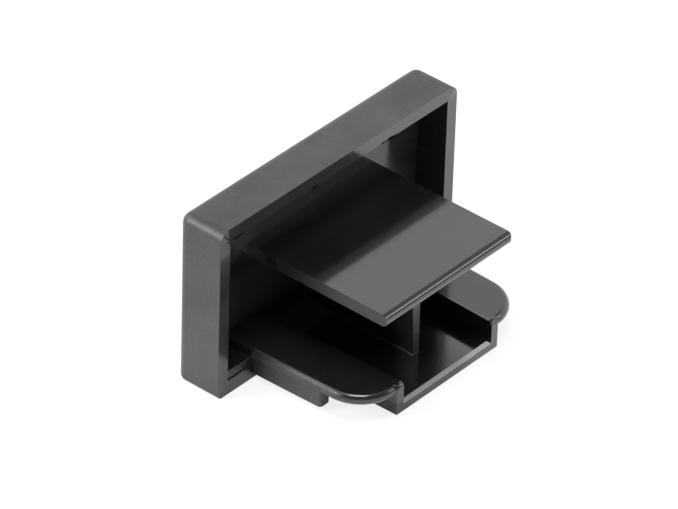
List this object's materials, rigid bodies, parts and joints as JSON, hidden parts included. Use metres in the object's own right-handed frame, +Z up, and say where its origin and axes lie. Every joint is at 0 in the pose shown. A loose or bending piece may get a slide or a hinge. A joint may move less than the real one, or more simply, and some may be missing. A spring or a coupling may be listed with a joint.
{
  "type": "track end cap",
  "caption": "End cap for a lighting track: a shallow open box whose plug of a flat tongue, a thin web and a winged channel goes into the track's end.",
  "frame": {"origin": "on the underside of the cap, in the plane of the rim, midway across the width", "axes": "+X across the width, +Y from the rim towards the plug's tip, +Z up from the underside"},
  "size_m": [0.035, 0.0197, 0.0197],
  "materials": {
    "plastic": "satin black moulding, glossier inside the pocket and on the plug"
  },
  "bodies": {
    "root": {"end_cap": "plastic"}
  },
  "joints": []
}
